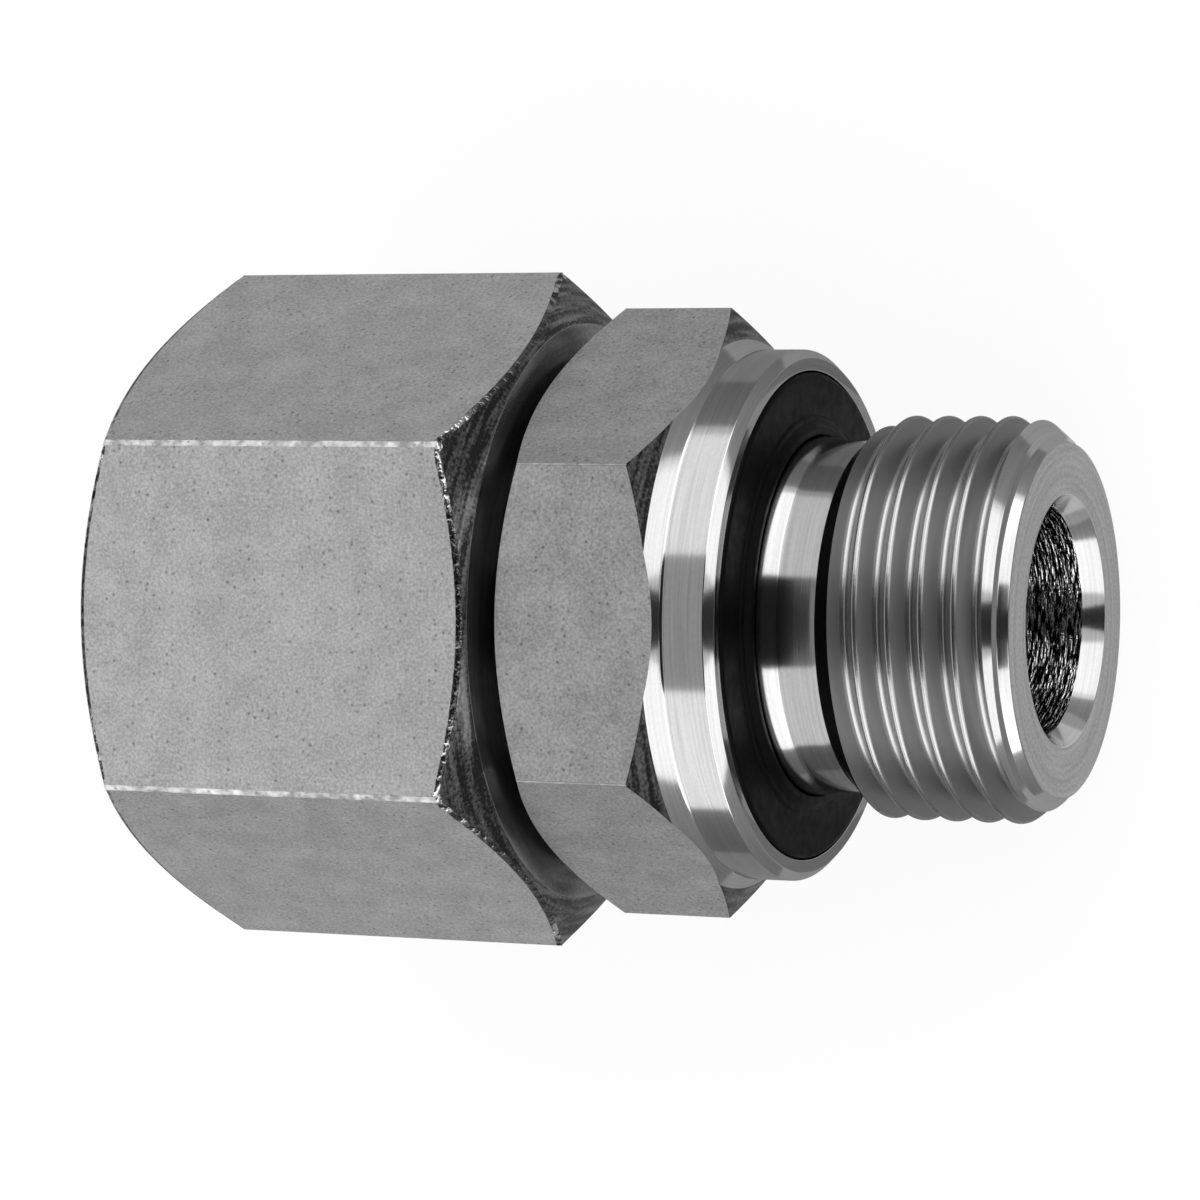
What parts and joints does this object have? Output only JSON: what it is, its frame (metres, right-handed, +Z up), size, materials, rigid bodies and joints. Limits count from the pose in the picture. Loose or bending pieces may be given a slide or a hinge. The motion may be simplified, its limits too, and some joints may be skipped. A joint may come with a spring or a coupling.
{
  "type": "hydraulic adapter fitting",
  "caption": "Straight swivel adapter for hydraulic tube: threaded stud with face seal, milled hexagon and free-turning union nut round a coned nose.",
  "frame": {"origin": "on the flow axis, in the plane of the collar's sealing face", "axes": "+X along the flow axis towards the threaded stud, +Z up, square to the nut flat that it lies on"},
  "size_m": [0.0423, 0.031, 0.027],
  "materials": {
    "body_steel": "satin zinc-plated steel, turned and milled",
    "nut_steel": "matte zinc-plated steel with a fine grain",
    "spring_steel": "drawn spring wire",
    "seal_rubber": "black nitrile rubber with a soft sheen"
  },
  "bodies": {
    "body": {"fitting_body": "body_steel", "retaining_ring": "spring_steel", "cone_o_ring": "seal_rubber", "stud_seal": "seal_rubber"},
    "nut": {"swivel_nut": "nut_steel"}
  },
  "joints": [
    {"name": "nut_swivel", "type": "hinge", "parent": "body", "child": "nut", "pos_m": [-0.0206, 0, 0], "axis": [1, 0, 0], "continuous": true}
  ]
}
